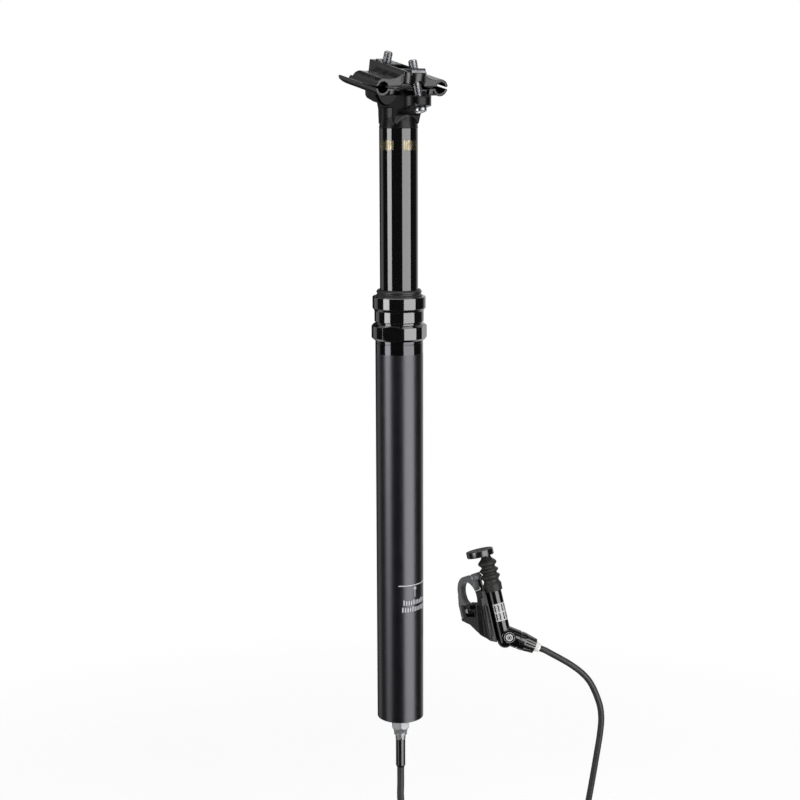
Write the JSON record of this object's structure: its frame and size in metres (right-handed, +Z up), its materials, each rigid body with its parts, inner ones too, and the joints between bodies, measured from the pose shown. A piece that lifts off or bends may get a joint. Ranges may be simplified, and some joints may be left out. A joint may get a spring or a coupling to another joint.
{
  "type": "dropper seatpost",
  "caption": "Telescoping bicycle seatpost with a tilting saddle clamp, joined by a hydraulic hose to a thumb-button remote with a hinged handlebar clamp.",
  "frame": {"origin": "centre of the outer tube's lower end", "axes": "+Z up the post, +Y to the saddle's rear, X across the two saddle rails"},
  "size_m": [0.2443, 0.1517, 0.6861],
  "materials": {
    "satin_tube": "satin anodised, dark blue-black",
    "collar_grey": "semi-gloss anodised, dark grey",
    "gloss_black": "gloss black anodised",
    "forged_black": "satin black, forged",
    "bare_aluminium": "turned",
    "gold_aluminium": "gold anodised",
    "bright_steel": "bright, turned and threaded",
    "dark_steel": "dark zinc",
    "brass": "turned",
    "rubber_black": "matt",
    "rubber_boot": "matt, soft",
    "rubber_red": "matt",
    "bushing_brown": "low-friction lining",
    "black_plastic": "moulded, fine grain",
    "grey_plastic": "moulded, satin",
    "strap_grey": "matt grey anodised",
    "white_plastic": "gloss white",
    "hose_grey": "satin hose jacket"
  },
  "bodies": {
    "outer": {"outer_tube": "satin_tube", "base_plug": "bare_aluminium", "base_seal_ring": "rubber_black", "hose_nut": "bright_steel", "hose_barb_ring": "dark_steel", "hose_sleeve": "black_plastic", "collar": "collar_grey", "upper_bushing": "bushing_brown", "shaft_seal": "rubber_black", "dust_wiper": "rubber_black", "piston_rod": "bright_steel", "main_piston": "gold_aluminium", "piston_seal": "rubber_black", "remote_barrel": "gloss_black", "bleed_screw": "bright_steel", "elbow_plug": "dark_steel", "hose_ferrule": "white_plastic", "return_spring": "bright_steel", "bellows": "rubber_boot", "bracket": "grey_plastic", "hinge_pin": "bright_steel", "strap_bolt": "bright_steel", "hose_post_run": "hose_grey", "hose_coil": "hose_grey", "hose_remote_run": "hose_grey", "coil_tie": "rubber_black"},
    "shaft": {"upper_tube": "gloss_black", "seal_head": "bare_aluminium", "rod_seal": "rubber_black", "top_out_bumper": "rubber_red", "lower_bushing": "bushing_brown", "guide_key_a": "brass", "guide_key_b": "brass", "guide_key_c": "brass", "head": "forged_black", "air_valve": "brass", "valve_cap": "black_plastic"},
    "gas_piston": {"floating_piston": "bare_aluminium", "floating_piston_seal": "rubber_black"},
    "clamp": {"lower_cradle": "forged_black", "upper_clamp": "forged_black"},
    "front_nut": {"front_nut": "dark_steel"},
    "rear_nut": {"rear_nut": "dark_steel"},
    "front_bolt": {"front_bolt": "bright_steel", "front_washer": "dark_steel"},
    "rear_bolt": {"rear_bolt": "bright_steel", "rear_washer": "dark_steel"},
    "poppet": {"poppet_valve": "bright_steel"},
    "plunger": {"thumb_button": "grey_plastic", "master_rod": "bright_steel", "master_piston": "bare_aluminium", "master_seal": "rubber_black"},
    "knob": {"speed_knob": "black_plastic"},
    "strap": {"strap": "strap_grey"}
  },
  "joints": [
    {"name": "post_travel", "type": "slide", "parent": "outer", "child": "shaft", "axis": [0, 0, 1], "range_m": [-0.1, 0]},
    {"name": "clamp_tilt", "type": "hinge", "parent": "shaft", "child": "clamp", "pos_m": [0, 0, 0.4267], "axis": [1, 0, 0], "range_deg": [-8, 8]},
    {"name": "front_bolt_swing", "type": "hinge", "parent": "shaft", "child": "front_bolt", "pos_m": [0, -0.024, 0.4118], "axis": [1, 0, 0], "range_deg": [-0.3091, 0.3091]},
    {"name": "rear_bolt_swing", "type": "hinge", "parent": "shaft", "child": "rear_bolt", "pos_m": [0, 0.0217, 0.4186], "axis": [1, 0, 0], "range_deg": [-2.58, 2.58]},
    {"name": "front_nut_swivel", "type": "hinge", "parent": "clamp", "child": "front_nut", "pos_m": [0, -0.01805, 0.43256], "axis": [1, 0, 0], "range_deg": [-7.89, 7.89]},
    {"name": "rear_nut_swivel", "type": "hinge", "parent": "clamp", "child": "rear_nut", "pos_m": [0, 0.01371, 0.43942], "axis": [1, 0, 0], "range_deg": [-5.62, 5.62]},
    {"name": "gas_piston_slide", "type": "slide", "parent": "shaft", "child": "gas_piston", "axis": [0, 0, 1], "range_m": [-0.0001, 0.02076]},
    {"name": "plunger_press", "type": "slide", "parent": "outer", "child": "plunger", "axis": [0.0937, -0.2573, -0.9618], "range_m": [0, 0.009], "stiffness_N_per_m": 1200, "springref_m": -0.002, "deforming": ["bellows", "return_spring"]},
    {"name": "poppet_lift", "type": "slide", "parent": "outer", "child": "poppet", "axis": [0, 0, 1], "range_m": [-0.0001, 0.0015]},
    {"name": "speed_adjust", "type": "hinge", "parent": "outer", "child": "knob", "pos_m": [0.15476, 0.0767, 0.00316], "axis": [0.7341, -0.5697, -0.3695], "range_deg": [-180, 180]},
    {"name": "strap_open", "type": "hinge", "parent": "outer", "child": "strap", "pos_m": [0.1355, 0.09887, 0.04828], "axis": [0.9945, -0.0203, 0.1023], "range_deg": [0, 50]}
  ],
  "couplings": [
    {"joint": "front_bolt_swing", "follows": "clamp_tilt", "ratio": 0.02614},
    {"joint": "rear_bolt_swing", "follows": "clamp_tilt", "ratio": 0.3106},
    {"joint": "front_nut_swivel", "follows": "clamp_tilt", "ratio": -0.97386},
    {"joint": "rear_nut_swivel", "follows": "clamp_tilt", "ratio": -0.6894},
    {"joint": "gas_piston_slide", "follows": "post_travel", "ratio": -0.20661},
    {"joint": "poppet_lift", "follows": "plunger_press", "ratio": 0.15556}
  ]
}
